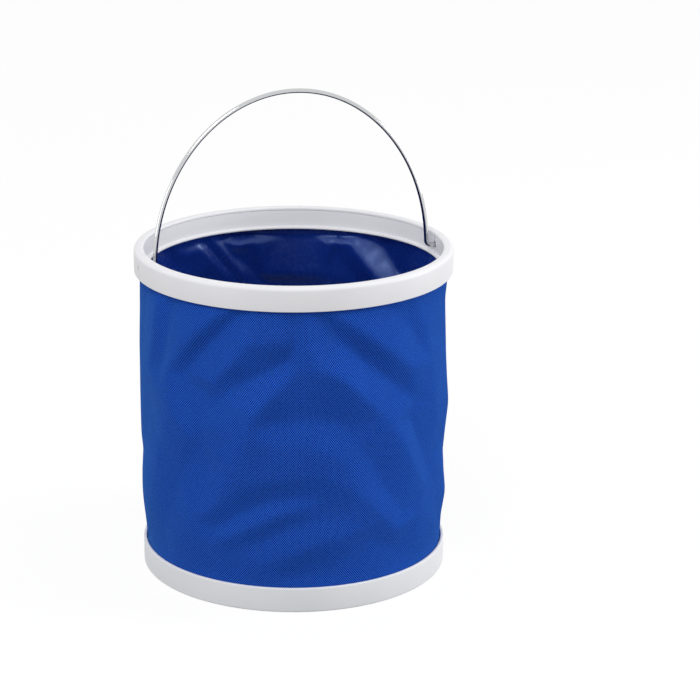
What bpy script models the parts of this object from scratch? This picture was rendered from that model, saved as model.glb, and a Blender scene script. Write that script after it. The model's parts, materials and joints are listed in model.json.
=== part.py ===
"""Collapsible camp bucket.

A coated cloth wall is clamped at the top in a two-part plastic rim and at the
foot in a two-part plastic base. A steel wire bail swings in the rim. The rim
twists as it comes down, and the cloth folds between the two rings.

Blender 4.5, metres, +Z up, standing on the plane Z = 0, bail axis along X.
"""

import math

import bmesh
import bpy
from mathutils import Vector

MM = 0.001

# Overall sizes
total_height = 250.0 * MM
rim_outer_radius = 120.0 * MM
base_outer_radius = 116.5 * MM
clearance = 0.3 * MM

# Rim, outer ring: an inverted L with a toe that closes on the cloth
rim_height = 18.0 * MM
rim_wall = 2.0 * MM
rim_flange = 2.2 * MM
rim_outer_round = 3.0 * MM
rim_inner_round = 1.4 * MM
rim_edge_round = 0.5 * MM
rim_toe_height = 2.2 * MM
rim_toe_slope = 0.8 * MM
rim_nose_overhang = 0.2 * MM

# Rim, clamp hoop: a split strip with a lip turned inwards at its foot
hoop_wall = 1.8 * MM
hoop_raise = 0.5 * MM
hoop_split = 0.8 * MM
lip_reach = 2.5 * MM
lip_thickness = 2.0 * MM

# Cloth wall and the cords in its two hems
cloth_thickness = 0.8 * MM
hem_cord_radius = 0.9 * MM
wall_taper_height = 45.0 * MM
wall_free_margin = 4.0 * MM
wall_bands = 4
wall_bulge = 0.9 * MM
fold_depth = 2.4 * MM
fold_count = 9
fold_drift_share = 0.55
lap_seam_rise = 0.8 * MM

# Base, outer ring: an L whose toe carries the hem and the dish
base_height = 19.0 * MM
base_wall = 2.3 * MM
base_toe = 1.8 * MM
base_toe_reach = 7.2 * MM
base_top_round = 0.8 * MM
base_foot_round = 1.2 * MM
base_lead_in = 0.4 * MM

# Base, dish: the floor, its upstand and the ribs under it
dish_wall = 2.0 * MM
dish_floor = 2.0 * MM
dish_step_down = 1.5 * MM
dish_corner_round = 3.0 * MM
dish_edge_round = 0.7 * MM
dish_groove_depth = 2.1 * MM
dish_foot_width = 6.2 * MM
gate_disc_radius = 14.0 * MM
gate_disc_recess = 0.4 * MM
gate_nub_radius = 2.0 * MM
gate_nub_height = 0.8 * MM
rib_thickness = 1.6 * MM
rib_depth = 2.3 * MM
rib_ring_radius = 52.0 * MM
rib_seat = 1.0 * MM
rib_end_gap = 1.5 * MM
rib_pairs = 4

# Bail: one steel wire, bent out at both ends through the rim
wire_radius = 1.75 * MM
bail_rise = 125.5 * MM
bail_bend_radius = 4.0 * MM
bail_bend_gap = 2.2 * MM
bail_hem_gap = 1.05 * MM
bail_end_recess = 1.1 * MM
bail_end_play = 0.7 * MM
hoop_hole_play = 1.0 * MM
rim_hole_play = 0.35 * MM
bail_arch_steps = 56
bail_bend_steps = 5

# Facets
ring_steps = 72
cloth_steps = 56
cord_sides = 6
hole_sides = 24
wire_resolution = 4
cut_overrun = 2.0 * MM
merge_distance = 0.01 * MM
smooth_angle = math.radians(35.0)

# Rim places, worked out from the outside inwards
rim_bottom = total_height - rim_height
channel_outer_radius = rim_outer_radius - rim_wall
top_cord_path_radius = channel_outer_radius - clearance - hem_cord_radius
wall_top_radius = top_cord_path_radius - hem_cord_radius - clearance
hoop_outer_radius = wall_top_radius - cloth_thickness - clearance
hoop_inner_radius = hoop_outer_radius - hoop_wall
lip_inner_radius = hoop_inner_radius - lip_reach
flange_underside = rim_height - rim_flange
top_cord_height = rim_toe_height + rim_toe_slope + clearance + hem_cord_radius
top_hem_height = top_cord_height + hem_cord_radius + clearance + cloth_thickness
bail_pivot_height = top_hem_height + bail_hem_gap + wire_radius
bail_half_width = hoop_inner_radius - bail_bend_gap - bail_bend_radius

# Base places, worked out from the outside inwards and the ground up
ring_inner_radius = base_outer_radius - base_wall
base_toe_inner_radius = ring_inner_radius - base_toe_reach
wall_foot_radius = ring_inner_radius - clearance
dish_outer_radius = wall_foot_radius - cloth_thickness - clearance
foot_cord_path_radius = dish_outer_radius - hem_cord_radius
hem_underside = base_toe + clearance
foot_cord_height = hem_underside + cloth_thickness + clearance + hem_cord_radius
dish_neck_radius = foot_cord_path_radius - hem_cord_radius - clearance
dish_groove_height = foot_cord_height + hem_cord_radius + clearance
dish_foot_height = base_toe + clearance
floor_underside = dish_foot_height + dish_step_down
floor_top = floor_underside + dish_floor
dish_top = base_height - dish_step_down


def clear_scene():
    for item in list(bpy.data.objects):
        bpy.data.objects.remove(item, do_unlink=True)


def make_collection(name):
    collection = bpy.data.collections.new(name)
    bpy.context.scene.collection.children.link(collection)
    return collection


def make_material(name, colour, roughness, metallic=0.0):
    material = bpy.data.materials.new(name)
    material.use_nodes = True
    shader = material.node_tree.nodes["Principled BSDF"]
    shader.inputs["Base Color"].default_value = (*colour, 1.0)
    shader.inputs["Roughness"].default_value = roughness
    shader.inputs["Metallic"].default_value = metallic
    return material


def make_empty(name, location, parent=None):
    empty = bpy.data.objects.new(name, None)
    parts.objects.link(empty)
    empty.location = location
    empty.parent = parent
    return empty


def place(item, material, parent, location=(0.0, 0.0, 0.0)):
    """Give an object its material, its parent and its place under it."""
    if material is not None:
        item.data.materials.clear()
        item.data.materials.append(material)
    item.parent = parent
    item.location = location
    return item


def shade(item):
    item.data.shade_smooth()
    item.data.set_sharp_from_angle(angle=smooth_angle)


def arc(centre_radius, centre_height, radius, start_deg, end_deg, steps):
    """Points of an arc in the radius-height plane, both ends included."""
    points = []
    for step in range(steps + 1):
        turn = math.radians(start_deg + (end_deg - start_deg) * step / steps)
        points.append((centre_radius + radius * math.cos(turn),
                       centre_height + radius * math.sin(turn)))
    return points


def profile_mesh(name, points, closed):
    mesh = bpy.data.meshes.new(name)
    edges = [(index, index + 1) for index in range(len(points) - 1)]
    if closed:
        edges.append((len(points) - 1, 0))
    mesh.from_pydata([(radius, 0.0, height) for radius, height in points], edges, [])
    return mesh


def turned(name, points, closed=True, steps=ring_steps):
    """Turn a profile about Z; it runs down its outer side."""
    item = bpy.data.objects.new(name, profile_mesh(name, points, closed))
    parts.objects.link(item)
    screw = item.modifiers.new("Turn", "SCREW")
    screw.axis = "Z"
    screw.angle = math.tau
    screw.steps = steps
    screw.render_steps = steps
    screw.use_merge_vertices = True
    screw.merge_threshold = merge_distance
    return item


def apply_modifiers(item):
    """Replace an object's mesh by its evaluated one."""
    graph = bpy.context.evaluated_depsgraph_get()
    mesh = bpy.data.meshes.new_from_object(item.evaluated_get(graph))
    item.modifiers.clear()
    item.data = mesh
    return item


def make_cutter(item):
    for collection in list(item.users_collection):
        collection.objects.unlink(item)
    cutters.objects.link(item)
    item.hide_render = True
    item.display_type = "WIRE"
    return item


def box_tool(name, low, high, turn=0.0):
    """A box between two corners, turned about Z."""
    bpy.ops.mesh.primitive_cube_add(size=1.0)
    item = bpy.context.active_object
    item.name = name
    low, high = Vector(low), Vector(high)
    for vertex in item.data.vertices:
        share = vertex.co + Vector((0.5, 0.5, 0.5))
        vertex.co = low + Vector(a * b for a, b in zip(share, high - low))
    item.rotation_euler = (0.0, 0.0, turn)
    return make_cutter(item)


def cross_drill(name, radius, height):
    """A drill along X through both sides of a ring."""
    length = 2.0 * (rim_outer_radius + cut_overrun)
    bpy.ops.mesh.primitive_cylinder_add(vertices=hole_sides, radius=radius, depth=length)
    item = bpy.context.active_object
    item.name = name
    item.rotation_euler = (0.0, math.pi / 2.0, 0.0)
    item.location = (0.0, 0.0, height)
    return make_cutter(item)


def combine(item, tool, operation):
    change = item.modifiers.new(tool.name, "BOOLEAN")
    change.operation = operation
    change.object = tool
    change.solver = "EXACT"


def smooth_step(share):
    share = max(0.0, min(1.0, share))
    return share * share * (3.0 - 2.0 * share)


def make_rim_ring(material, parent):
    """The outer ring: skirt, top flange and a toe under the hem cord."""
    flange_inner = hoop_inner_radius - rim_nose_overhang
    toe_inner = wall_top_radius + clearance
    points = arc(rim_outer_radius - rim_outer_round, rim_height - rim_outer_round,
                 rim_outer_round, 90.0, 0.0, 4)
    points += arc(rim_outer_radius - rim_edge_round, rim_edge_round,
                  rim_edge_round, 0.0, -90.0, 2)
    points += [(toe_inner, 0.0),
               (toe_inner, rim_toe_height),
               (channel_outer_radius, rim_toe_height + rim_toe_slope),
               (channel_outer_radius, flange_underside),
               (flange_inner, flange_underside)]
    points += arc(flange_inner + rim_inner_round, rim_height - rim_inner_round,
                  rim_inner_round, 180.0, 90.0, 3)
    ring = place(turned("rim_outer_ring", points), material, parent)
    drill = cross_drill("rim_hole_drill", wire_radius + rim_hole_play,
                        rim_bottom + bail_pivot_height)
    combine(ring, drill, "DIFFERENCE")
    shade(ring)
    return ring


def make_clamp_hoop(material, parent):
    """The inner hoop, split where the +X bail hole goes through."""
    top = flange_underside - clearance
    lip_round = lip_thickness / 2.0
    lip_top = hoop_raise + lip_thickness
    points = [(hoop_outer_radius, top),
              (hoop_outer_radius, hoop_raise)]
    points += arc(lip_inner_radius + lip_round, hoop_raise + lip_round,
                  lip_round, 270.0, 90.0, 4)
    points += [(hoop_inner_radius, lip_top),
               (hoop_inner_radius, top)]
    hoop = place(turned("rim_clamp_hoop", points), material, parent)
    drill = cross_drill("hoop_hole_drill", wire_radius + hoop_hole_play,
                        rim_bottom + bail_pivot_height)
    combine(hoop, drill, "DIFFERENCE")
    split = box_tool("hoop_split_tool",
                     (lip_inner_radius - cut_overrun, -hoop_split / 2.0,
                      rim_bottom - cut_overrun),
                     (hoop_outer_radius + cut_overrun, hoop_split / 2.0,
                      total_height + cut_overrun))
    combine(hoop, split, "DIFFERENCE")
    shade(hoop)
    return hoop


def wall_radius(height):
    """Outer radius of the bare wall: drawn in towards the base ring."""
    rise = (height - base_height) / wall_taper_height
    return wall_foot_radius + (wall_top_radius - wall_foot_radius) * smooth_step(rise)


def fold_offset(turn, height):
    """How far the soft folds push the wall out or in at one place."""
    low = base_height
    high = rim_bottom - wall_free_margin
    rise = (height - low) / (high - low)
    if rise <= 0.0 or rise >= 1.0:
        return 0.0
    hold = math.sin(math.pi * rise)
    drift = math.pi * fold_drift_share * math.cos(math.tau * rise)
    fold = math.cos(fold_count * turn + drift)
    return hold * (wall_bulge * hold + fold_depth / 2.0 * (fold - 1.0))


def on_lap_seam(turn):
    """True on the two columns of the lap, at the back of the wall."""
    column = round(turn / math.tau * cloth_steps)
    back = cloth_steps // 4
    return column in (back, back + 1)


def wall_profile():
    """The wall in section: a hem over the top cord and one under the foot cord."""
    free_low = base_height
    free_high = rim_bottom - wall_free_margin
    middle = free_low + wall_taper_height
    rows = [free_low, free_low + wall_taper_height / 2.0]
    rows += [middle + (free_high - middle) * step / wall_bands
             for step in range(wall_bands + 1)]
    hem_top = rim_bottom + top_hem_height
    hem_outer = channel_outer_radius - clearance
    foot_inner = foot_cord_path_radius - hem_cord_radius
    outer = [(wall_radius(row), row) for row in reversed(rows)]
    inner = [(wall_radius(row) - cloth_thickness, row) for row in rows]
    points = [(hem_outer, hem_top),
              (hem_outer, hem_top - cloth_thickness),
              (wall_top_radius, hem_top - cloth_thickness)]
    points += outer
    points += [(wall_foot_radius, hem_underside),
               (foot_inner, hem_underside),
               (foot_inner, hem_underside + cloth_thickness),
               (wall_foot_radius - cloth_thickness, hem_underside + cloth_thickness)]
    points += inner
    points += [(wall_top_radius - cloth_thickness, hem_top)]
    return points


def make_wall(material, parent):
    """The cloth wall, with its soft folds and the lap where the cloth closes."""
    wall = turned("fabric_wall", wall_profile(), steps=cloth_steps)
    place(wall, material, parent)
    apply_modifiers(wall)
    for vertex in wall.data.vertices:
        radius = math.hypot(vertex.co.x, vertex.co.y)
        height = vertex.co.z
        turn = math.atan2(vertex.co.y, vertex.co.x) % math.tau
        shift = fold_offset(turn, height)
        outside = radius > wall_radius(height) - cloth_thickness / 2.0
        if shift != 0.0 and outside and on_lap_seam(turn):
            shift += lap_seam_rise
        vertex.co.x *= (radius + shift) / radius
        vertex.co.y *= (radius + shift) / radius
    shade(wall)
    return wall


def make_hem_cord(name, path_radius, material, parent, height):
    bpy.ops.mesh.primitive_torus_add(major_segments=cloth_steps, minor_segments=cord_sides,
                                     major_radius=path_radius, minor_radius=hem_cord_radius)
    cord = bpy.context.active_object
    cord.name = name
    for collection in list(cord.users_collection):
        collection.objects.unlink(cord)
    parts.objects.link(cord)
    place(cord, material, parent, (0.0, 0.0, height))
    shade(cord)
    return cord


def make_base_ring(material, parent):
    """The outer ring of the base, with a toe turned in under the hem."""
    points = arc(base_outer_radius - base_top_round, base_height - base_top_round,
                 base_top_round, 90.0, 0.0, 3)
    points += arc(base_outer_radius - base_foot_round, base_foot_round,
                  base_foot_round, 0.0, -90.0, 3)
    points += [(base_toe_inner_radius, 0.0),
               (base_toe_inner_radius, base_toe),
               (ring_inner_radius, base_toe),
               (ring_inner_radius, base_height - base_lead_in),
               (ring_inner_radius + base_lead_in, base_height)]
    ring = place(turned("base_outer_ring", points), material, parent)
    shade(ring)
    return ring


def make_dish(material, parent):
    """The floor of the bucket, pressed into the base ring over the hem."""
    inner_radius = dish_outer_radius - dish_wall
    foot_inner = dish_neck_radius - dish_foot_width
    points = [(0.0, floor_top + gate_nub_height),
              (gate_nub_radius, floor_top + gate_nub_height),
              (gate_nub_radius, floor_top - gate_disc_recess),
              (gate_disc_radius, floor_top - gate_disc_recess),
              (gate_disc_radius, floor_top)]
    points += arc(inner_radius - dish_corner_round, floor_top + dish_corner_round,
                  dish_corner_round, -90.0, 0.0, 4)
    points += [(inner_radius, dish_top - dish_edge_round),
               (inner_radius + dish_edge_round, dish_top),
               (dish_outer_radius - dish_edge_round, dish_top),
               (dish_outer_radius, dish_top - dish_edge_round),
               (dish_outer_radius, dish_groove_height + dish_groove_depth),
               (dish_neck_radius, dish_groove_height),
               (dish_neck_radius, dish_foot_height),
               (foot_inner, dish_foot_height),
               (foot_inner, floor_underside),
               (0.0, floor_underside)]
    dish = place(turned("base_dish", points, closed=False), material, parent)
    for index in range(rib_pairs):
        rib = rib_bar(index * math.pi / rib_pairs)
        combine(dish, rib, "UNION")
    combine(dish, rib_ring(), "UNION")
    shade(dish)
    return dish


def rib_bar(turn):
    """One straight rib across the underside of the floor, clear of the ring's toe."""
    reach = base_toe_inner_radius - rib_end_gap
    return box_tool("floor_rib_tool",
                    (-reach, -rib_thickness / 2.0, floor_underside - rib_depth),
                    (reach, rib_thickness / 2.0, floor_underside + rib_seat), turn)


def rib_ring():
    """The round rib that ties the straight ones together."""
    outer = rib_ring_radius + rib_thickness / 2.0
    inner = rib_ring_radius - rib_thickness / 2.0
    low = floor_underside - rib_depth
    high = floor_underside + rib_seat
    points = [(inner, high), (outer, high), (outer, low), (inner, low)]
    ring = turned("floor_rib_ring_tool", points)
    return make_cutter(apply_modifiers(ring))


def bail_points():
    """Centre line of the wire in the XZ plane of its axis, from -X to +X."""
    half_width = bail_half_width
    end = rim_outer_radius - bail_end_recess
    right = []
    for step in range(bail_arch_steps // 2 + 1):
        turn = math.pi / 2.0 * (1.0 - step / (bail_arch_steps // 2))
        height = bail_rise * math.sin(turn)
        if height > bail_bend_radius:
            right.append((half_width * math.cos(turn), height))
    right.append((half_width, bail_bend_radius))
    for step in range(1, bail_bend_steps + 1):
        turn = math.pi / 2.0 * step / bail_bend_steps
        right.append((half_width + bail_bend_radius * (1.0 - math.cos(turn)),
                      bail_bend_radius * (1.0 - math.sin(turn))))
    right.append((end, 0.0))
    left = [(-across, up) for across, up in reversed(right[1:])]
    return [(across - bail_end_play, up) for across, up in left + right]


def make_bail(material, parent):
    curve = bpy.data.curves.new("bail_wire", "CURVE")
    curve.dimensions = "3D"
    curve.bevel_depth = wire_radius
    curve.bevel_resolution = wire_resolution
    curve.use_fill_caps = True
    points = bail_points()
    spline = curve.splines.new("POLY")
    spline.points.add(len(points) - 1)
    for point, (across, up) in zip(spline.points, points):
        point.co = (across, 0.0, up, 1.0)
    source = bpy.data.objects.new("bail_wire_path", curve)
    parts.objects.link(source)
    graph = bpy.context.evaluated_depsgraph_get()
    mesh = bpy.data.meshes.new_from_object(source.evaluated_get(graph))
    bpy.data.objects.remove(source, do_unlink=True)
    weld = bmesh.new()
    weld.from_mesh(mesh)
    bmesh.ops.remove_doubles(weld, verts=weld.verts, dist=merge_distance)
    weld.to_mesh(mesh)
    weld.free()
    wire = bpy.data.objects.new("bail_wire", mesh)
    parts.objects.link(wire)
    place(wire, material, parent)
    shade(wire)
    return wire


clear_scene()
parts = make_collection("camp_bucket")
cutters = make_collection("camp_bucket_tools")

rim_plastic = make_material("rim_plastic", (0.66, 0.66, 0.68), 0.38)
base_plastic = make_material("base_plastic", (0.63, 0.64, 0.67), 0.40)
coated_cloth = make_material("coated_cloth", (0.013, 0.054, 0.30), 0.62)
hem_cord = make_material("hem_cord", (0.60, 0.60, 0.60), 0.85)
bail_steel = make_material("bail_steel", (0.62, 0.62, 0.62), 0.22, 1.0)

base_frame = make_empty("base_frame", (0.0, 0.0, 0.0))
lift_frame = make_empty("lift_frame", (0.0, 0.0, rim_bottom), base_frame)
rim_frame = make_empty("rim_frame", (0.0, 0.0, 0.0), lift_frame)
bail_axis = make_empty("bail_axis", (0.0, 0.0, bail_pivot_height), rim_frame)

make_base_ring(base_plastic, base_frame)
make_dish(base_plastic, base_frame)
make_hem_cord("foot_hem_cord", foot_cord_path_radius, hem_cord, base_frame, foot_cord_height)
make_wall(coated_cloth, base_frame)
make_hem_cord("top_hem_cord", top_cord_path_radius, hem_cord, lift_frame, top_cord_height)
make_rim_ring(rim_plastic, rim_frame)
make_clamp_hoop(rim_plastic, rim_frame)
make_bail(bail_steel, bail_axis)
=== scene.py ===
"""Looks of the collapsible camp bucket.

The moulded rings, the floor, the wire and the hem cords are made again with fine
surfaces in the places of their solids. The wall is one laminated cloth in two layers:
the woven face outside, and the glossy coating inside, made as a ring of leaves that
overlap a little like an iris.

Metres, +Z up, bail axis along X. Names that end in _mm are in millimetres, and names
that end in _deg in degrees.
"""

import json
import math

import bmesh
import bpy
import numpy as np
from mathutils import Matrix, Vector
from mathutils.geometry import delaunay_2d_cdt


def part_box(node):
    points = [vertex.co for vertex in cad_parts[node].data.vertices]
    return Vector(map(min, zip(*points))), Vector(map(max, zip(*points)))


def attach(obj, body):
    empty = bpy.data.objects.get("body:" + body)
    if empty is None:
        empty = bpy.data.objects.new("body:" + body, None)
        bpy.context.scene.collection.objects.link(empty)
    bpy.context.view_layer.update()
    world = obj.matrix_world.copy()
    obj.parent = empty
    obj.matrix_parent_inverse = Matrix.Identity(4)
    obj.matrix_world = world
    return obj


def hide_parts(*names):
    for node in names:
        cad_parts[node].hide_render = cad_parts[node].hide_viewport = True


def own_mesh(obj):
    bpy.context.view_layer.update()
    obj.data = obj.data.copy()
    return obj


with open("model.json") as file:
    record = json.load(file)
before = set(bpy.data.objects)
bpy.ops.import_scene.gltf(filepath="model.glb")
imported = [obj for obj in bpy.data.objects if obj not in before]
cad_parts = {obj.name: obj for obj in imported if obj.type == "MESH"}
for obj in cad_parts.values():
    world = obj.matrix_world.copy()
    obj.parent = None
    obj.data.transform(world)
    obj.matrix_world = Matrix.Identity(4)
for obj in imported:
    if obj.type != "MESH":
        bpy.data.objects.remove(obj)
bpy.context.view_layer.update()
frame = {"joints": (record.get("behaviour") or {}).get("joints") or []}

MM = 0.001

# Places read from the frame
rim_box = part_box("rim_outer_ring")
base_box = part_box("base_outer_ring")
bail_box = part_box("bail_wire")
top_cord_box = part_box("top_hem_cord")
foot_cord_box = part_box("foot_hem_cord")
rim_low = rim_box[0].z
rim_top = rim_box[1].z
rim_radius = rim_box[1].x
base_radius = base_box[1].x
base_top = base_box[1].z
joints = {joint["name"]: joint for joint in frame["joints"]}
bail_height = joints["bail_swing"]["pos_m"][2]
wire_radius = (bail_box[1].y - bail_box[0].y) / 2.0

# Turned mouldings
turn_steps = 240
round_steps = 6
merge_distance = 0.002 * MM
pick_distance = 0.01 * MM
tool_overrun = 1.0 * MM
drill_sides = 48
drill_length = 2.2 * rim_radius
moulded_smooth_deg = 35.0

# Rim ring
skirt_wall = 2.0 * MM
skirt_foot_round = 0.6 * MM
flange_thickness = 2.2 * MM
flange_overhang = 0.2 * MM
flange_inner_round = 1.4 * MM
flange_outer_round = 3.0 * MM
rim_toe_inner = 115.9 * MM
rim_toe_rise = 2.2 * MM
rim_toe_shoulder = 3.0 * MM
rim_toe_round = 0.4 * MM
rim_hole_radius = 2.1 * MM

# Clamp hoop
hoop_outer = 114.5 * MM
hoop_inner = 112.7 * MM
hoop_drop = 0.3 * MM
hoop_raise = 0.5 * MM
hoop_top = rim_top - flange_thickness - hoop_drop
hoop_top_round = 0.3 * MM
hoop_hole_radius = 2.75 * MM
hoop_split = 0.8 * MM
lip_inner = 110.2 * MM
lip_thickness = 2.0 * MM
lip_low = rim_low + hoop_raise
lip_high = lip_low + lip_thickness
lip_round = 0.95 * MM
lip_corner_round = 0.5 * MM

# Base ring
ring_wall = 2.3 * MM
ring_inner = base_radius - ring_wall
ring_lead_in = 0.4 * MM
ring_top_round = 0.9 * MM
ring_foot_round = 1.2 * MM
ring_toe_inner = 107.0 * MM
ring_toe_top = 1.8 * MM
ring_toe_round = 0.4 * MM

# Floor dish
dish_outer = 112.8 * MM
dish_inner = 110.8 * MM
dish_top = 17.5 * MM
dish_top_round = 0.7 * MM
dish_corner_round = 3.0 * MM
dish_neck_radius = 110.7 * MM
dish_neck_high = 8.1 * MM
dish_neck_low = 5.3 * MM
dish_foot_inner = 103.5 * MM
dish_foot_height = 2.1 * MM
floor_top = 5.6 * MM
floor_low = 3.6 * MM
gate_nub_radius = 2.0 * MM
gate_nub_rise = 0.8 * MM
gate_nub_round = 0.5 * MM
gate_nub_foot_radius = 2.3 * MM
gate_disc_radius = 14.0 * MM
gate_disc_edge_radius = 14.4 * MM
gate_disc_recess = 0.4 * MM
rib_pairs = 4
rib_thickness = 1.6 * MM
rib_low = 1.3 * MM
rib_seat = 0.5 * MM
rib_end_gap = 1.5 * MM
rib_ring_radius = 52.0 * MM

# Wire
bail_half_width = 106.5 * MM
bail_bend = 4.0 * MM
bail_arch_steps = 96
bail_bend_steps = 8
bail_round_steps = 6
bail_end_bevel = 0.3 * MM
bail_end_share = 0.82
wire_smooth_deg = 40.0

# Hem cords
cord_thickness = 1.8 * MM
cord_steps = 360
cord_sides = 10
cord_mean_share = 0.80
cord_strand_share = 0.14
cord_twists = 60.0

# Cloth
cloth_top_radius = 115.6 * MM
cloth_foot_radius = 113.6 * MM
cloth_taper_height = 45.0 * MM
cloth_swell = 0.7 * MM
layer_thickness = 0.34 * MM
leaf_thickness = 0.272 * MM
face_depth = 0.2 * MM
lining_depth = 0.6 * MM
ring_overlap = 2.0 * MM
sheet_low = base_top - ring_overlap
sheet_high = rim_low + ring_overlap
lining_high = 235.0 * MM
cloth_columns = 384
cloth_rows = 112
soft_smooth_deg = 60.0
lap_turn_deg = 8.0
lap_columns = 6
lap_rise_columns = 2
lap_rise = 0.36 * MM
upright_gap = 0.83 * MM
level_gap = 1.0 * MM
thread_edge = 0.28
thread_stray = 0.22
thread_crown = 0.6

# How the lining is cut into leaves
leaf_count = 24
leaf_tuck_columns = 3
leaf_tuck_depth = 0.18 * MM

# Creases
crease_gain = 2.4
crease_soften_mm = 2.1
crease_hold_mm = 6.0
crease_wrap_deg = 60
edge_point_deg = 10
join_distance_mm = 0.001
facet_slack = 1e-6
blur_reach = 3.0

# Usual reach of a noise texture's values
noise_low = 0.3
noise_high = 0.7

# Studio
floor_size = 40.0
floor_drop = 0.2 * MM
floor_seen_grey = (0.90, 0.90, 0.90)
floor_bounce_grey = (0.22, 0.22, 0.22)
floor_glow = 1.02
floor_glow_share = 0.86
world_seen = 1.0
world_light = 0.77
lamp_aim = (0.0, 0.0, 0.15)
camera_aim = (0.0, 0.0, 0.125)
camera_turn_deg = -17.0
camera_rise_deg = 18.65
camera_distance = 1.92


# Scene tools

def deselect():
    """Leave edit mode and select nothing."""
    if bpy.context.object and bpy.context.object.mode != "OBJECT":
        bpy.ops.object.mode_set(mode="OBJECT")
    bpy.ops.object.select_all(action="DESELECT")


def take_new(name):
    """Name the object that an operator just added."""
    item = bpy.context.active_object
    item.name = name
    item.data.name = name
    return item


def make_active(item):
    deselect()
    item.select_set(True)
    bpy.context.view_layer.objects.active = item


def settle(item):
    """Put an object's place into its mesh."""
    make_active(item)
    bpy.ops.object.transform_apply(location=True, rotation=True, scale=True)


def finish_piece(item, material, body, node):
    """Give a piece its material, hang it on its body, and hide the node that it stands in for."""
    item.data.materials.clear()
    item.data.materials.append(material)
    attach(item, body)
    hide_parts(node)


def smooth(item, degrees):
    make_active(item)
    bpy.ops.object.shade_smooth_by_angle(angle=math.radians(degrees))


def apply_modifier(item, modifier):
    make_active(item)
    bpy.ops.object.modifier_apply(modifier=modifier.name)


def close_surface():
    """In edit mode, merge doubled points and turn all faces outwards."""
    bpy.ops.mesh.select_all(action="SELECT")
    bpy.ops.mesh.remove_doubles(threshold=merge_distance)
    bpy.ops.mesh.normals_make_consistent(inside=False)
    bpy.ops.object.mode_set(mode="OBJECT")


def turned(name, corners, rounds=(), open_on_axis=False):
    """Turn a section of (radius, height) corners about Z; rounds are (corner, radius)."""
    deselect()
    bpy.ops.mesh.primitive_circle_add(vertices=len(corners), radius=MM, fill_type="NOTHING")
    item = take_new(name)
    bpy.ops.object.mode_set(mode="EDIT")
    mesh = bmesh.from_edit_mesh(item.data)
    mesh.verts.ensure_lookup_table()
    for vertex, (radius, height) in zip(mesh.verts, corners):
        vertex.co = (radius, 0.0, height)
    bmesh.update_edit_mesh(item.data)
    if open_on_axis:
        bpy.ops.mesh.select_mode(type="EDGE")
        bpy.ops.mesh.select_all(action="DESELECT")
        mesh = bmesh.from_edit_mesh(item.data)
        for edge in mesh.edges:
            edge.select = all(vertex.co.x < pick_distance for vertex in edge.verts)
        bpy.ops.mesh.delete(type="EDGE")
        bpy.ops.mesh.select_mode(type="VERT")
    for corner, radius in rounds:
        bpy.ops.mesh.select_all(action="DESELECT")
        mesh = bmesh.from_edit_mesh(item.data)
        place = Vector((corners[corner][0], 0.0, corners[corner][1]))
        for vertex in mesh.verts:
            vertex.select = (vertex.co - place).length < pick_distance
        mesh.select_flush(True)
        bmesh.update_edit_mesh(item.data)
        bpy.ops.mesh.bevel(offset=radius, segments=round_steps, affect="VERTICES")
    bpy.ops.mesh.select_all(action="SELECT")
    bpy.ops.mesh.spin(steps=turn_steps, angle=math.tau,
                      center=(0.0, 0.0, 0.0), axis=(0.0, 0.0, 1.0))
    close_surface()
    return item


def cut_with(item, tool, operation="DIFFERENCE"):
    change = item.modifiers.new("Cut", "BOOLEAN")
    change.operation = operation
    change.solver = "EXACT"
    change.object = tool
    apply_modifier(item, change)
    bpy.data.objects.remove(tool, do_unlink=True)


def cross_rod(radius):
    """A rod along the bail's axis through both sides of the rim, to drill with."""
    deselect()
    bpy.ops.mesh.primitive_cylinder_add(vertices=drill_sides, radius=radius, depth=drill_length,
                                        location=(0.0, 0.0, bail_height),
                                        rotation=(0.0, math.pi / 2.0, 0.0))
    rod = take_new("drill_rod")
    settle(rod)
    return rod


def block(low, high, turn=0.0):
    """A box between two corners, turned about Z."""
    deselect()
    middle = [(a + b) / 2.0 for a, b in zip(low, high)]
    bpy.ops.mesh.primitive_cube_add(size=1.0, location=middle)
    item = take_new("block_tool")
    item.scale = [b - a for a, b in zip(low, high)]
    settle(item)
    item.rotation_euler = (0.0, 0.0, turn)
    settle(item)
    return item


# Materials

def new_material(name):
    material = bpy.data.materials.new(name)
    material.use_nodes = True
    nodes = material.node_tree.nodes
    return material, nodes, material.node_tree.links, nodes["Principled BSDF"]


def set_inputs(node, values):
    for name, value in values.items():
        node.inputs[name].default_value = value


def add_math(nodes, links, operation, first, second=None):
    node = nodes.new("ShaderNodeMath")
    node.operation = operation
    for socket, value in zip(node.inputs, (first, second)):
        if value is None:
            continue
        if isinstance(value, (int, float)):
            socket.default_value = value
        else:
            links.new(value, socket)
    return node.outputs[0]


def add_noise(nodes, links, vector, scale, detail=3.0):
    node = nodes.new("ShaderNodeTexNoise")
    set_inputs(node, {"Scale": scale, "Detail": detail})
    links.new(vector, node.inputs["Vector"])
    return node.outputs["Fac"]


def add_range(nodes, links, value, low, high, from_low=0.0, from_high=1.0):
    node = nodes.new("ShaderNodeMapRange")
    set_inputs(node, {"From Min": from_low, "From Max": from_high,
                      "To Min": low, "To Max": high})
    links.new(value, node.inputs["Value"])
    return node.outputs["Result"]


def spread_noise(nodes, links, noise, low=0.0, high=1.0):
    """Spread the usual reach of a noise from low to high."""
    return add_range(nodes, links, noise, low, high, noise_low, noise_high)


def add_mix(nodes, links, factor, first, second):
    """Mix two colours; each is a tuple or an output."""
    node = nodes.new("ShaderNodeMix")
    node.data_type = "RGBA"
    links.new(factor, node.inputs[0])
    for socket, value in ((node.inputs[6], first), (node.inputs[7], second)):
        if isinstance(value, tuple):
            socket.default_value = (*value, 1.0)
        else:
            links.new(value, socket)
    return node.outputs[2]


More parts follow.
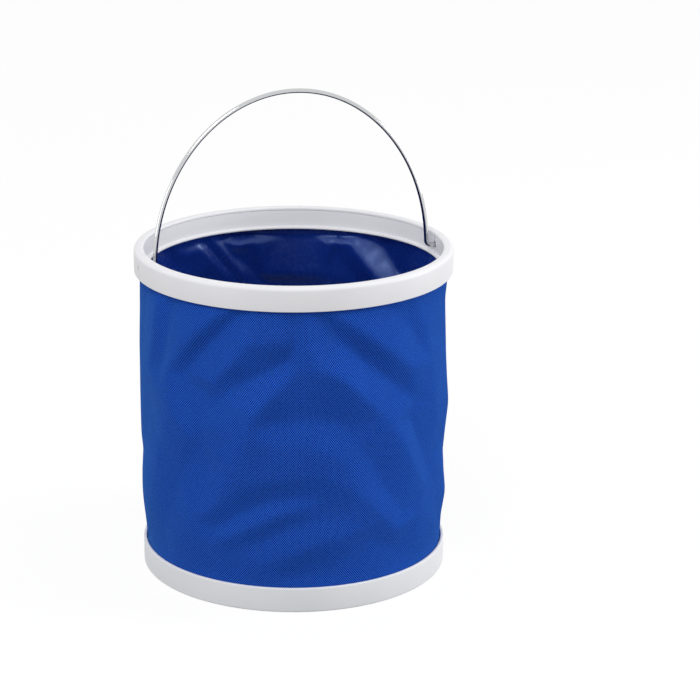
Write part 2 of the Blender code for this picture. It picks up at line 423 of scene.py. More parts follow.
def add_stretch(nodes, links, vector, scale):
    node = nodes.new("ShaderNodeMapping")
    node.inputs["Scale"].default_value = scale
    links.new(vector, node.inputs["Vector"])
    return node.outputs["Vector"]


def add_bump(nodes, links, height, distance, strength, under=None):
    node = nodes.new("ShaderNodeBump")
    set_inputs(node, {"Distance": distance, "Strength": strength})
    links.new(height, node.inputs["Height"])
    if under is not None:
        links.new(under, node.inputs["Normal"])
    return node.outputs["Normal"]


def moulded_plastic(name, colour, shade, roughness):
    """Satin white plastic: faint clouding, draw marks and orange peel."""
    material, nodes, links, shader = new_material(name)
    place = nodes.new("ShaderNodeTexCoord").outputs["Object"]
    cloud = add_noise(nodes, links, place, scale=28.0, detail=4.0)
    links.new(add_mix(nodes, links, spread_noise(nodes, links, cloud), shade, colour),
              shader.inputs["Base Color"])
    drawn = add_stretch(nodes, links, place, (400.0, 400.0, 40.0))
    marks = add_noise(nodes, links, drawn, scale=1.0, detail=2.0)
    links.new(spread_noise(nodes, links, marks, roughness - 0.06, roughness + 0.08),
              shader.inputs["Roughness"])
    peel = add_noise(nodes, links, place, scale=650.0, detail=2.0)
    coarse = add_bump(nodes, links, cloud, distance=0.25 * MM, strength=0.5)
    fine = add_bump(nodes, links, peel, distance=0.02 * MM, strength=0.6, under=coarse)
    links.new(fine, shader.inputs["Normal"])
    set_inputs(shader, {"Specular IOR Level": 0.25})
    return material


def thread_wave(nodes, links, run, gap):
    """A wave that crosses zero between two threads."""
    return add_math(nodes, links, "SINE", add_math(nodes, links, "MULTIPLY", run, math.pi / gap))


def woven_face():
    """Blue plain weave of upright and level threads.

    Where two threads cross, the upright ones on top carry a painted sheen of lighter blue and the
    level ones a painted shade of darker blue.
    """
    material, nodes, links, shader = new_material("woven_blue_cloth")
    run = nodes.new("ShaderNodeTexCoord").outputs["UV"]
    split = nodes.new("ShaderNodeSeparateXYZ")
    links.new(run, split.inputs[0])
    across = thread_wave(nodes, links, split.outputs[0], upright_gap)
    along = thread_wave(nodes, links, split.outputs[1], level_gap)
    crossing = add_math(nodes, links, "MULTIPLY", across, along)
    uneven = add_noise(nodes, links, run, scale=1100.0, detail=1.0)
    stray = add_range(nodes, links, uneven, -thread_stray, thread_stray,
                      from_low=0.25, from_high=0.75)
    # Mask of the painted sheen: high where the upright thread lies on top, low where the level one
    # does.
    upright = add_range(nodes, links, add_math(nodes, links, "ADD", crossing, stray), 0.0, 1.0,
                        from_low=-thread_edge, from_high=thread_edge)
    crown = add_math(nodes, links, "POWER", add_math(nodes, links, "ABSOLUTE", crossing),
                     thread_crown)
    upright_fibre = add_noise(nodes, links, add_stretch(nodes, links, run, (5000.0, 260.0, 1.0)),
                              scale=1.0, detail=2.0)
    level_fibre = add_noise(nodes, links, add_stretch(nodes, links, run, (260.0, 5000.0, 1.0)),
                            scale=1.0, detail=2.0)
    # Painted shade: the darker blue on the level threads' crowns, with fibre noise through it.
    shaded_crown_blue = add_mix(nodes, links, spread_noise(nodes, links, level_fibre),
                   (0.0022, 0.009, 0.070), (0.0038, 0.015, 0.115))
    # Painted sheen: the lighter blue on the upright threads' crowns, with fibre noise through it.
    sheen_crown_blue = add_mix(nodes, links, spread_noise(nodes, links, upright_fibre),
                   (0.0215, 0.114, 0.625), (0.0283, 0.150, 0.780))
    links.new(add_mix(nodes, links, upright, shaded_crown_blue, sheen_crown_blue), shader.inputs["Base Color"])
    set_inputs(shader, {"Roughness": 0.50, "Specular IOR Level": 0.0, "Sheen Weight": 0.36,
                        "Sheen Roughness": 0.36, "Sheen Tint": (0.14, 0.44, 1.0, 1.0)})
    cloud = add_noise(nodes, links, run, scale=22.0)
    soft = add_bump(nodes, links, cloud, distance=1.2 * MM, strength=0.35)
    threads = add_bump(nodes, links, crown, distance=0.2 * MM, strength=0.7, under=soft)
    links.new(threads, shader.inputs["Normal"])
    return material


def coated_lining():
    """The coating inside: a smooth dark blue film with soft wrinkles."""
    material, nodes, links, shader = new_material("coated_lining")
    run = nodes.new("ShaderNodeTexCoord").outputs["UV"]
    cloud = add_noise(nodes, links, run, scale=16.0)
    links.new(add_mix(nodes, links, spread_noise(nodes, links, cloud),
                      (0.0040, 0.021, 0.182), (0.0056, 0.029, 0.240)),
              shader.inputs["Base Color"])
    fine = add_noise(nodes, links, run, scale=260.0)
    links.new(spread_noise(nodes, links, fine, 0.21, 0.32), shader.inputs["Roughness"])
    set_inputs(shader, {"Specular IOR Level": 0.85, "Specular Tint": (0.42, 0.60, 1.0, 1.0)})
    soft = add_bump(nodes, links, cloud, distance=2.0 * MM, strength=0.5)
    wrinkles = add_bump(nodes, links, fine, distance=0.05 * MM, strength=0.5, under=soft)
    links.new(wrinkles, shader.inputs["Normal"])
    return material


def plated_steel():
    """Bright plated wire with faint drawing lines."""
    material, nodes, links, shader = new_material("plated_steel")
    place = nodes.new("ShaderNodeTexCoord").outputs["Object"]
    set_inputs(shader, {"Base Color": (0.60, 0.605, 0.615, 1.0), "Metallic": 1.0})
    marks = add_noise(nodes, links, place, scale=900.0, detail=2.0)
    links.new(spread_noise(nodes, links, marks, 0.06, 0.15), shader.inputs["Roughness"])
    links.new(add_bump(nodes, links, marks, distance=0.01 * MM, strength=0.4),
              shader.inputs["Normal"])
    return material


def twisted_yarn():
    """Cord with its strands in colour and bump."""
    material, nodes, links, shader = new_material("hem_cord_yarn")
    place = nodes.new("ShaderNodeTexCoord").outputs["Object"]
    strands = add_noise(nodes, links, place, scale=900.0, detail=2.0)
    links.new(add_mix(nodes, links, strands, (0.42, 0.42, 0.41), (0.62, 0.62, 0.60)),
              shader.inputs["Base Color"])
    set_inputs(shader, {"Roughness": 0.75})
    links.new(add_bump(nodes, links, strands, distance=0.1 * MM, strength=0.8),
              shader.inputs["Normal"])
    return material


rim_plastic = moulded_plastic("rim_white_plastic", colour=(0.80, 0.80, 0.825),
                              shade=(0.77, 0.77, 0.80), roughness=0.36)
base_plastic = moulded_plastic("base_white_plastic", colour=(0.785, 0.795, 0.825),
                               shade=(0.76, 0.77, 0.805), roughness=0.38)
cloth_face = woven_face()
cloth_lining = coated_lining()
steel = plated_steel()
cord_yarn = twisted_yarn()


# Rim

def make_rim_ring():
    """The outer ring: skirt, rounded flange and the toe under the hem."""
    flange_inner = hoop_inner - flange_overhang
    skirt_inner = rim_radius - skirt_wall
    corners = [(flange_inner, rim_top),
               (rim_radius, rim_top),
               (rim_radius, rim_low),
               (rim_toe_inner, rim_low),
               (rim_toe_inner, rim_low + rim_toe_rise),
               (skirt_inner, rim_low + rim_toe_shoulder),
               (skirt_inner, rim_top - flange_thickness),
               (flange_inner, rim_top - flange_thickness)]
    rounds = ((0, flange_inner_round), (1, flange_outer_round),
              (2, skirt_foot_round), (3, rim_toe_round))
    ring = turned("rim_ring_moulded", corners, rounds)
    cut_with(ring, cross_rod(rim_hole_radius))
    smooth(ring, moulded_smooth_deg)
    finish_piece(ring, rim_plastic, "rim", "rim_outer_ring")


def make_clamp_hoop():
    """The hoop inside the rim, with its lip and its joint at the right bail hole."""
    corners = [(hoop_inner, hoop_top),
               (hoop_outer, hoop_top),
               (hoop_outer, lip_low),
               (lip_inner, lip_low),
               (lip_inner, lip_high),
               (hoop_inner, lip_high)]
    rounds = ((3, lip_round), (4, lip_round), (5, lip_corner_round), (0, hoop_top_round))
    hoop = turned("clamp_hoop_moulded", corners, rounds)
    cut_with(hoop, cross_rod(hoop_hole_radius))
    half = hoop_split / 2.0
    over = 2.0 * tool_overrun
    cut_with(hoop, block((lip_inner - over, -half, lip_low - tool_overrun),
                         (hoop_outer + over, half, hoop_top + tool_overrun)))
    smooth(hoop, moulded_smooth_deg)
    finish_piece(hoop, rim_plastic, "rim", "rim_clamp_hoop")


# Base

def make_base_ring():
    """The ring that the bucket stands on, with its toe under the floor dish."""
    corners = [(ring_inner + ring_lead_in, base_top),
               (base_radius, base_top),
               (base_radius, 0.0),
               (ring_toe_inner, 0.0),
               (ring_toe_inner, ring_toe_top),
               (ring_inner, ring_toe_top),
               (ring_inner, base_top - ring_lead_in)]
    rounds = ((1, ring_top_round), (2, ring_foot_round), (3, ring_toe_round))
    ring = turned("base_ring_moulded", corners, rounds)
    smooth(ring, moulded_smooth_deg)
    finish_piece(ring, base_plastic, "base", "base_outer_ring")


def make_dish():
    """The floor: upstand, rounded corner, gate disc and nub, with ribs below."""
    corners = [(0.0, floor_top + gate_nub_rise),
               (gate_nub_radius, floor_top + gate_nub_rise),
               (gate_nub_foot_radius, floor_top - gate_disc_recess),
               (gate_disc_radius, floor_top - gate_disc_recess),
               (gate_disc_edge_radius, floor_top),
               (dish_inner, floor_top),
               (dish_inner, dish_top),
               (dish_outer, dish_top),
               (dish_outer, dish_neck_high),
               (dish_neck_radius, dish_neck_low),
               (dish_neck_radius, dish_foot_height),
               (dish_foot_inner, dish_foot_height),
               (dish_foot_inner, floor_low),
               (0.0, floor_low)]
    rounds = ((1, gate_nub_round), (5, dish_corner_round), (6, dish_top_round),
              (7, dish_top_round))
    dish = turned("floor_dish_moulded", corners, rounds, open_on_axis=True)
    reach = ring_toe_inner - rib_end_gap
    half = rib_thickness / 2.0
    rib_high = floor_low + rib_seat
    for index in range(rib_pairs):
        rib = block((-reach, -half, rib_low), (reach, half, rib_high), math.pi * index / rib_pairs)
        cut_with(dish, rib, "UNION")
    rib_ring = turned("rib_ring_tool", [(rib_ring_radius - half, rib_high),
                                        (rib_ring_radius + half, rib_high),
                                        (rib_ring_radius + half, rib_low),
                                        (rib_ring_radius - half, rib_low)])
    cut_with(dish, rib_ring, "UNION")
    smooth(dish, moulded_smooth_deg)
    finish_piece(dish, base_plastic, "base", "base_dish")


# Wire and cords

def bail_path():
    """Points of (across, up) from the pivot axis: half an ellipse with its ends bent out."""
    rise = bail_box[1].z - wire_radius - bail_height
    end = (bail_box[1].x - bail_box[0].x) / 2.0
    right = []
    for step in range(bail_arch_steps + 1):
        turn = math.pi / 2.0 * (1.0 - step / bail_arch_steps)
        if rise * math.sin(turn) > bail_bend:
            right.append((bail_half_width * math.cos(turn), rise * math.sin(turn)))
    for step in range(bail_bend_steps + 1):
        turn = math.pi / 2.0 * step / bail_bend_steps
        right.append((bail_half_width + bail_bend * (1.0 - math.cos(turn)),
                      bail_bend * (1.0 - math.sin(turn))))
    right.append((end - bail_end_bevel, 0.0))
    right.append((end, 0.0))
    return [(-across, up) for across, up in reversed(right[1:])] + right


def make_bail():
    """One round wire, with its ends slightly bevelled."""
    shift = (bail_box[0].x + bail_box[1].x) / 2.0
    points = bail_path()
    curve = bpy.data.curves.new("bail_path", "CURVE")
    curve.dimensions = "3D"
    curve.bevel_depth = wire_radius
    curve.bevel_resolution = bail_round_steps
    curve.use_fill_caps = True
    spline = curve.splines.new("POLY")
    spline.points.add(len(points) - 1)
    for index, (point, (across, up)) in enumerate(zip(spline.points, points)):
        point.co = (across + shift, 0.0, up + bail_height, 1.0)
        point.radius = bail_end_share if index in (0, len(points) - 1) else 1.0
    deselect()
    path = bpy.data.objects.new("bail_path", curve)
    bpy.context.scene.collection.objects.link(path)
    make_active(path)
    bpy.ops.object.convert(target="MESH")
    item = take_new("bail_wire_drawn")
    bpy.ops.object.mode_set(mode="EDIT")
    close_surface()
    smooth(item, wire_smooth_deg)
    finish_piece(item, steel, "bail", "bail_wire")


def make_hem_cord(name, box, body, node):
    """A two-strand cord round the hem: its oval section turns as it goes."""
    middle = box[1].x - cord_thickness / 2.0
    height = (box[0].z + box[1].z) / 2.0
    deselect()
    bpy.ops.mesh.primitive_torus_add(major_segments=cord_steps, minor_segments=cord_sides,
                                     major_radius=middle, minor_radius=cord_thickness / 2.0,
                                     location=(0.0, 0.0, height))
    cord = take_new(name)
    settle(cord)
    for vertex in cord.data.vertices:
        turn = math.atan2(vertex.co.y, vertex.co.x)
        out = math.hypot(vertex.co.x, vertex.co.y) - middle
        up = vertex.co.z - height
        around = math.atan2(up, out)
        share = cord_mean_share + cord_strand_share * math.cos(2.0 * (around - cord_twists * turn))
        radius = middle + out * share
        vertex.co = (radius * math.cos(turn), radius * math.sin(turn), height + up * share)
    smooth(cord, soft_smooth_deg)
    finish_piece(cord, cord_yarn, body, node)


# Cloth: the ridges and valleys that folding has left in it. Each line runs through points
# of (turn in degrees, height in mm, lift in mm, outwards above zero), and stiff flat
# facets join the lines.
FOLD_LINES = (
    # Front left: bands that run down to the left
    ((195, 224, 1.2), (192, 194, 1.2), (186, 166, 0.8)),
    ((203, 227, -0.6), (200, 205, -0.4), (197, 182, -0.3)),
    ((227, 229, 1.2), (220, 215, 1.8), (211, 196, 2.0), (202, 175, 1.2)),
    ((233, 228, -1.2), (226, 212, -1.6), (217, 195, -1.6), (209, 177, -0.8)),
    ((250, 209, 1.0), (237, 207, 1.5), (230, 190, 1.4), (223, 173, 0.6)),
    ((239, 228, 0.6), (237, 207, 1.5)),
    ((252, 195, -1.5), (243, 184, -1.8), (233, 174, -1.6), (225, 161, -0.8)),
    ((254, 188, 0.3), (247, 172, 1.8), (240, 155, 2.4), (237, 138, 2.2),
     (231, 108, 1.6), (223, 76, 0.8)),
    ((195, 157, 1.2), (204, 145, 1.6), (212, 131, 1.0)),
    ((216, 140, -0.5), (217, 126, -0.9), (220, 108, -1.0), (218, 88, -0.6)),
    # Front middle: the hollow under the long band
    ((253, 224, -0.5), (253, 206, -0.4), (254, 188, 0.3)),
    ((257, 224, 0.6), (258, 206, 1.3), (261, 188, 2.0)),
    ((261, 188, 2.0), (268, 184, 2.3), (275, 172, 2.2), (280, 160, 1.6), (287, 147, 0.8)),
    ((245, 147, -0.8), (254, 149, -1.2), (264, 149, -1.2), (272, 144, -0.8)),
    ((247, 128, 0.7), (256, 131, 0.6), (266, 123, 0.9), (273, 114, 0.6)),
    # Front right: bands that run down to the right
    ((262, 228, -0.8), (269, 211, -1.7), (280, 190, -2.0), (292, 170, -1.6), (303, 152, -0.7)),
    ((267, 230, 0.6), (278, 213, 1.4), (289, 196, 1.6), (300, 178, 1.2), (308, 158, 0.4)),
    ((290, 228, -0.6), (299, 213, -0.8), (305, 197, -0.6)),
    ((303, 227, 0.3), (309, 205, 0.6), (312, 180, 1.0), (316, 150, 1.2), (319, 130, 0.8)),
    # Front low: bands that run down to the left
    ((262, 107, 0.5), (248, 105, 0.8), (236, 99, 1.2), (229, 88, 0.9)),
    ((262, 89, -0.6), (252, 89, -0.9), (243, 85, -1.2), (232, 73, -1.2), (221, 60, -0.7)),
    ((258, 82, 0.1), (248, 77, 0.6), (238, 67, 0.8), (228, 54, 0.7), (221, 46, 0.3)),
    ((272, 73, -0.3), (260, 71, -0.8), (250, 65, -1.0), (240, 54, -0.8), (231, 45, -0.3)),
    ((276, 60, 0.4), (264, 55, 0.8), (253, 46, 0.9), (242, 36, 0.6), (235, 29, 0.2)),
    ((270, 38, -0.3), (260, 33, -0.5), (250, 26, -0.3)),
    # Front low, right
    ((290, 140, 1.4), (296, 122, 1.6), (302, 100, 1.0), (309, 80, 0.4)),
    ((301, 138, -0.8), (307, 118, -1.2), (313, 96, -1.0), (319, 76, -0.4)),
    ((278, 126, -0.5), (284, 108, -1.0), (290, 88, -1.0), (298, 66, -0.5)),
    ((277, 92, 0.8), (284, 76, 1.0), (293, 56, 0.6)),
    ((284, 50, -0.6), (296, 38, -0.6)),
    ((306, 62, 0.6), (318, 42, 0.6)),
    # Right side
    ((326, 229, -0.2), (334, 220, -0.5), (341, 209, -0.6), (349, 196, -0.6), (358, 180, -0.3)),
    ((340, 229, 0.2), (350, 221, 0.5), (359, 207, 0.6), (367, 191, 0.5), (372, 178, 0.2)),
    ((356, 229, -0.2), (365, 219, -0.5), (373, 206, -0.5), (377, 196, -0.2)),
    ((322, 152, 0.6), (332, 142, 0.7), (342, 126, 0.9), (348, 110, 0.6)),
    ((328, 180, -0.2), (338, 168, -0.1), (346, 158, -0.2)),
    ((326, 110, -0.2), (336, 96, -0.6), (344, 78, -0.7), (350, 62, -0.4)),
    ((322, 90, 0.2), (331, 72, 0.4), (340, 54, 0.6), (348, 40, 0.3)),
    ((324, 50, -0.3), (332, 36, -0.3)),
    ((354, 158, 0.3), (361, 142, 0.7), (367, 124, 0.7), (373, 106, 0.3)),
    ((351, 138, -0.3), (357, 122, -0.6), (363, 102, -0.7), (369, 84, -0.3)),
    ((356, 82, 0.3), (366, 64, 0.6), (376, 48, 0.4)),
    ((362, 46, -0.2), (372, 34, -0.2)),
    # Back, high: seen from inside through the rim
    ((39, 229, 1.4), (37, 225, 2.0), (33, 214, 2.3), (29, 204, 2.2), (22, 190, 0.9)),
    ((50, 224, -1.2), (45, 213, -2.3), (40, 203, -2.7), (35, 192, -2.2),
     (28, 176, -1.4), (21, 162, -0.6)),
    ((46, 230, 0.8), (54, 229, 2.2), (62, 229, 2.0)),
    ((50, 224, -1.2), (54, 222, -1.2), (58, 222, -1.2), (63, 226, 0.5)),
    ((56, 217, 0.2), (53, 206, 0.6), (48, 190, 0.9), (42, 172, 0.8)),
    ((66, 227, 0.8), (77, 227, 0.8)),
    ((61, 194, -0.7), (72, 194, -0.9), (84, 194, -1.0)),
    ((64, 187, 0.8), (74, 186, 1.5), (83, 187, 1.5)),
    ((62, 172, 1.4), (76, 170, 1.6)),
    ((80, 228, 1.4), (92, 229, 2.6), (101, 229, 2.2)),
    ((80, 225, 0.5), (88, 223, -0.7), (92, 222, -1.1), (97, 221, -1.1), (101, 225, 0.3)),
    ((104, 229, 1.0), (96, 210, 1.0), (88, 195, 0.9), (82, 180, 0.4)),
    ((107, 227, -0.6), (101, 212, -1.0), (95, 198, -1.3), (90, 184, -0.8)),
    ((110, 226, 1.1), (104, 212, 1.1), (98, 199, 0.8), (94, 186, 0.3)),
    ((113, 223, -0.9), (107, 210, -1.4), (101, 196, -1.2), (97, 180, -0.4)),
    ((113, 223, -0.9), (115, 212, 0.4), (117, 200, 0.9)),
    ((114, 229, 0.4), (119, 228, 0.5), (125, 228, 0.4)),
    ((113, 223, -0.9), (118, 220, -0.3), (124, 223, 0.0)),
    # Left side
    ((130, 229, 0.6), (124, 212, 1.4), (117, 194, 1.6), (110, 176, 1.2), (104, 162, 0.5)),
    ((142, 229, -0.6), (136, 212, -1.6), (129, 192, -2.0), (122, 172, -1.4), (116, 157, -0.5)),
    ((154, 229, 0.6), (148, 210, 1.4), (141, 190, 1.6), (134, 168, 1.0), (128, 150, 0.4)),
    ((163, 229, -0.1), (158, 208, -0.4), (152, 186, -0.6), (145, 162, -0.3)),
    ((171, 229, 0.2), (168, 205, 0.2), (166, 180, 0.4), (161, 158, 0.4), (155, 140, 0.2)),
    ((183, 228, -0.2), (180, 208, -0.3), (177, 188, -0.3)),
    ((172, 152, 0.3), (165, 128, 0.4), (157, 104, 0.6), (148, 82, 0.3)),
    ((186, 140, -0.2), (181, 118, -0.3), (177, 98, -0.1)),
    ((158, 84, -0.3), (150, 64, -0.5), (142, 46, -0.3)),
    ((170, 74, 0.4), (165, 52, 0.4), (157, 34, 0.3)),
    ((194, 112, 0.4), (190, 84, 0.7), (184, 56, 0.6), (180, 36, 0.4)),
    ((206, 96, -0.6), (201, 68, -0.6), (194, 42, -0.4)),
    ((213, 64, 0.5), (206, 42, 0.5)),
    # Back, low
    ((120, 140, 0.6), (112, 118, 1.4), (104, 96, 1.6), (96, 74, 1.0), (90, 56, 0.4)),
    ((132, 132, -0.6), (124, 110, -1.6), (116, 88, -1.8), (108, 66, -1.2), (102, 48, -0.4)),
    ((142, 120, 0.6), (136, 98, 1.2), (130, 76, 1.2), (122, 54, 0.8), (116, 38, 0.3)),
    ((104, 148, -0.8), (96, 130, -1.6), (88, 108, -1.8), (80, 86, -1.2), (74, 68, -0.5)),
    ((92, 158, 1.0), (84, 138, 1.6), (74, 118, 1.8), (64, 98, 1.4), (56, 78, 0.6)),
    ((72, 156, -0.6), (62, 136, -1.4), (52, 116, -1.6), (44, 96, -1.0), (38, 78, -0.4)),
    ((56, 150, 1.0), (46, 130, 1.4), (36, 112, 1.2), (28, 96, 0.5)),
    ((40, 146, -1.0), (30, 130, -1.2), (22, 116, -0.5)),
    ((76, 60, 0.5), (66, 46, 0.9), (56, 34, 0.5)),
    ((92, 42, -0.4), (80, 32, -0.6)),
    ((58, 64, -0.5), (48, 50, -0.8), (40, 38, -0.4)),
    ((40, 72, 0.4), (32, 56, 0.9), (22, 42, 0.5)),
)
mm_per_degree = cloth_top_radius / MM * math.radians(1.0)


def clamped(value):
    return min(1.0, max(0.0, value))


def eased(share):
    """A soft step from 0 to 1."""
    return share * share * (3.0 - 2.0 * share)


def crease_network():
    """Join the fold lines into flat triangles; the ring edges lie at no lift."""
    corners, edges = [], []
    start = int(lap_turn_deg) - crease_wrap_deg
    finish = int(lap_turn_deg) + 360 + crease_wrap_deg
    for height in (rim_low / MM, base_top / MM):
        corners += [(turn, height, 0.0) for turn in range(start, finish + 1, edge_point_deg)]
    for line in FOLD_LINES:
        for shift in (-360, 0, 360):
            if all(start < turn + shift < finish for turn, height, lift in line):
                first = len(corners)
                edges += [(first + step, first + step + 1) for step in range(len(line) - 1)]
                corners += [(turn + shift, height, lift) for turn, height, lift in line]
    places = [Vector((turn * mm_per_degree, height)) for turn, height, lift in corners]
    joined, _, facets, sources, _, _ = delaunay_2d_cdt(places, edges, [], 0, join_distance_mm)
    lifts = [np.mean([corners[index][2] for index in source]) if source else 0.0
             for source in sources]
    return np.array([tuple(place) for place in joined]), np.array(lifts), facets


def crease_lift(turns_deg, heights_mm):
    """Lift in mm at each place of the cloth's grid, from the facet that it lies on."""
    across, up = np.meshgrid(np.array(turns_deg) * mm_per_degree, heights_mm)
    lift = np.zeros_like(across)
    places, lifts, facets = crease_network()
    for facet in facets:
        first, second, third = (places[index] for index in facet)
        side_b = second - first
        side_c = third - first
        area = side_b[0] * side_c[1] - side_c[0] * side_b[1]
        if abs(area) < facet_slack:
            continue
        share_b = ((across - first[0]) * side_c[1] - side_c[0] * (up - first[1])) / area
        share_c = (side_b[0] * (up - first[1]) - (across - first[0]) * side_b[1]) / area
        share_a = 1.0 - share_b - share_c
        inside = np.minimum(np.minimum(share_a, share_b), share_c) >= -facet_slack
        values = share_a * lifts[facet[0]] + share_b * lifts[facet[1]] + share_c * lifts[facet[2]]
        lift[inside] = crease_gain * values[inside]
    return lift


def soften(field, step_across, step_up):
    """Blur a grid of lifts, round the wall and up it."""
    for axis, step in ((1, step_across), (0, step_up)):
        sigma = crease_soften_mm / step
        reach = int(blur_reach * sigma) + 1
        weights = np.exp(-0.5 * (np.arange(-reach, reach + 1) / sigma) ** 2)
        weights /= weights.sum()
        total = np.zeros_like(field)
        for offset, weight in zip(range(-reach, reach + 1), weights):
            if axis == 1:
                total += weight * np.roll(field, offset, axis=1)
            else:
                rows = np.clip(np.arange(field.shape[0]) + offset, 0, field.shape[0] - 1)
                total += weight * field[rows]
        field = total
    return field


cloth_turns = lap_turn_deg + 360.0 * np.arange(cloth_columns) / cloth_columns
cloth_heights_mm = np.linspace(sheet_low / MM, lining_high / MM, cloth_rows + 1)
row_height_mm = cloth_heights_mm[1] - cloth_heights_mm[0]
column_width = math.tau * cloth_top_radius / cloth_columns
lift_field = soften(crease_lift(cloth_turns, cloth_heights_mm), column_width / MM, row_height_mm)


def cloth_radius(column, height):
    """Radius of the wall's outer surface, at a column of the grid and a height."""
    rise = eased(clamped((height - base_top) / cloth_taper_height))
    radius = cloth_foot_radius + (cloth_top_radius - cloth_foot_radius) * rise
    level = (height / MM - cloth_heights_mm[0]) / row_height_mm
    row = min(cloth_rows - 1, max(0, int(level)))
    share = clamped(level - row)
    column %= cloth_columns
    lift = lift_field[row, column] * (1.0 - share) + lift_field[row + 1, column] * share
    hold = clamped((height - base_top) / (crease_hold_mm * MM))
    hold *= clamped((rim_low - height) / (crease_hold_mm * MM))
    swell = math.sin(math.pi * clamped((height - base_top) / (rim_low - base_top)))
    return radius + eased(hold) * lift * MM + cloth_swell * swell


def wrapped_sheet(name, first, last, high, depth, tucked=0):
    """A grid wrapped round the bucket from one column to another; UVs run in metres.

    Columns past the whole turn lie over the first ones, as the lap. Of a lining leaf,
    the first few columns are tucked between its neighbour and the woven face.
    """
    columns = last - first
    deselect()
    bpy.ops.mesh.primitive_grid_add(x_subdivisions=columns, y_subdivisions=cloth_rows, size=1.0)
    item = take_new(name)
    for vertex in item.data.vertices:
        column = round((vertex.co.x + 0.5) * columns) + first
        height = sheet_low + (vertex.co.y + 0.5) * (high - sheet_low)
        over = clamped((column - cloth_columns + lap_rise_columns) / lap_rise_columns)
        behind = leaf_tuck_depth if column < first + tucked else 0.0
        radius = cloth_radius(column, height) - depth + over * lap_rise + behind
        turn = math.radians(lap_turn_deg + 360.0 * column / cloth_columns)
        vertex.co = (radius * math.cos(turn), radius * math.sin(turn), height)
    for corner in item.data.uv_layers.active.data:
        across, up = corner.uv
        corner.uv = ((first + across * columns) * column_width, sheet_low + up * (high - sheet_low))
    return item


def thicken(item, thickness):
    """Give a sheet its thickness, the same to both sides."""
    wall = item.modifiers.new("Thickness", "SOLIDIFY")
    wall.thickness = thickness
    wall.offset = 0.0
    wall.material_offset = 1
    wall.material_offset_rim = 0
    apply_modifier(item, wall)


def make_woven_wall():
    """The woven face of the cloth, with the coating's material on its inner side, riding on the
    base.
    """
    wall = wrapped_sheet("woven_wall", 0, cloth_columns + lap_columns, sheet_high, face_depth)
    wall.data.materials.append(cloth_face)
    wall.data.materials.append(cloth_lining)
    thicken(wall, layer_thickness)
    smooth(wall, soft_smooth_deg)
    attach(wall, "base")
    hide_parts("fabric_wall")
    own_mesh(wall)
    return wall


def make_lining_leaves():
    """The coating, in leaves that ride on the top of the wall."""
    leaves = []
    width = cloth_columns // leaf_count
    for index in range(leaf_count):
        first = index * width
        leaf = wrapped_sheet(f"lining_leaf_{index + 1:02d}", first - leaf_tuck_columns,
                             first + width, lining_high, lining_depth, leaf_tuck_columns)
        leaf.data.materials.append(cloth_lining)
        thicken(leaf, leaf_thickness)
        smooth(leaf, soft_smooth_deg)
        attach(leaf, "wall_top")
        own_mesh(leaf)
        leaves.append(leaf)
    return leaves


make_rim_ring()
make_clamp_hoop()
make_base_ring()
make_dish()
make_bail()
make_hem_cord("top_hem_cord_twisted", top_cord_box, "wall_top", "top_hem_cord")
make_hem_cord("foot_hem_cord_twisted", foot_cord_box, "base", "foot_hem_cord")
woven_wall = make_woven_wall()
lining_leaves = make_lining_leaves()


# Stage

def seen_or_mirrored(nodes, links):
    """The light path, and a value: 1 where the camera or a mirror looks, or else 0."""
    path = nodes.new("ShaderNodeLightPath")
    seen = add_math(nodes, links, "MAXIMUM",
                    path.outputs["Is Camera Ray"], path.outputs["Is Glossy Ray"])
    return path, seen


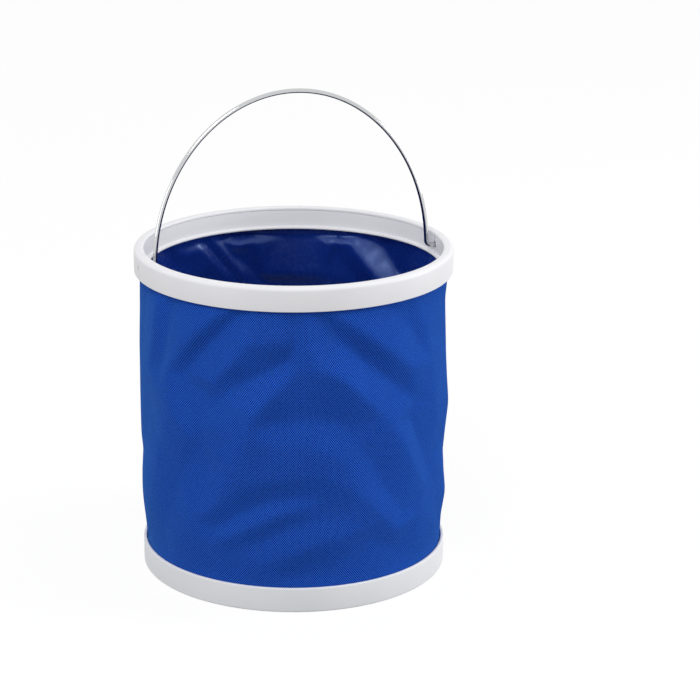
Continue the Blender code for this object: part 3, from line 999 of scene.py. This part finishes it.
def make_floor():
    """A ground that looks white and gives little light back."""
    deselect()
    bpy.ops.mesh.primitive_plane_add(size=floor_size, location=(0.0, 0.0, -floor_drop))
    floor = take_new("studio_floor")
    material = bpy.data.materials.new("white_ground")
    material.use_nodes = True
    nodes, links = material.node_tree.nodes, material.node_tree.links
    nodes.clear()
    _, seen = seen_or_mirrored(nodes, links)
    diffuse = nodes.new("ShaderNodeBsdfDiffuse")
    ground = add_mix(nodes, links, seen, floor_bounce_grey, floor_seen_grey)
    links.new(ground, diffuse.inputs["Color"])
    glow = nodes.new("ShaderNodeEmission")
    set_inputs(glow, {"Strength": floor_glow})
    mix = nodes.new("ShaderNodeMixShader")
    links.new(add_math(nodes, links, "MULTIPLY", seen, floor_glow_share), mix.inputs[0])
    links.new(diffuse.outputs[0], mix.inputs[1])
    links.new(glow.outputs[0], mix.inputs[2])
    output = nodes.new("ShaderNodeOutputMaterial")
    links.new(mix.outputs[0], output.inputs[0])
    floor.data.materials.append(material)


def make_world():
    """White behind everything, and a soft grey light from all round."""
    world = bpy.data.worlds.new("studio")
    bpy.context.scene.world = world
    world.use_nodes = True
    nodes, links = world.node_tree.nodes, world.node_tree.links
    back = nodes["Background"]
    set_inputs(back, {"Color": (1.0, 1.0, 1.0, 1.0)})
    path, seen = seen_or_mirrored(nodes, links)
    seen = add_math(nodes, links, "MAXIMUM", seen, path.outputs["Is Transmission Ray"])
    links.new(add_range(nodes, links, seen, world_light, world_seen), back.inputs["Strength"])


def add_softbox(name, place, width, height, power):
    """A rectangular lamp that faces the middle of the bucket."""
    light = bpy.data.lights.new(name, "AREA")
    light.shape = "RECTANGLE"
    light.size = width
    light.size_y = height
    light.energy = power
    item = bpy.data.objects.new(name, light)
    bpy.context.scene.collection.objects.link(item)
    item.location = place
    item.rotation_euler = (Vector(lamp_aim) - Vector(place)).to_track_quat("-Z", "Y").to_euler()


def make_camera():
    """The photograph's view: from the front, a little above and to the left."""
    turn = math.radians(camera_turn_deg)
    rise = math.radians(camera_rise_deg)
    back = Vector((math.sin(turn) * math.cos(rise),
                   -math.cos(turn) * math.cos(rise),
                   math.sin(rise)))
    data = bpy.data.cameras.new("camera")
    data.lens = 128.8
    data.sensor_width = 36.0
    data.shift_x = 0.0805
    data.shift_y = 0.074
    camera = bpy.data.objects.new("camera", data)
    bpy.context.scene.collection.objects.link(camera)
    camera.location = Vector(camera_aim) + back * camera_distance
    camera.rotation_euler = (-back).to_track_quat("-Z", "Y").to_euler()
    bpy.context.scene.camera = camera


make_floor()
make_world()
add_softbox("right_softbox", (2.00, -0.58, 0.62), width=0.9, height=0.9, power=22.5)
add_softbox("left_softbox", (-2.05, -0.29, 0.58), width=0.9, height=0.9, power=5.5)
add_softbox("front_softbox", (-0.80, -1.32, 1.38), width=0.8, height=0.7, power=11.0)
make_camera()
bpy.context.scene.view_settings.view_transform = "Standard"
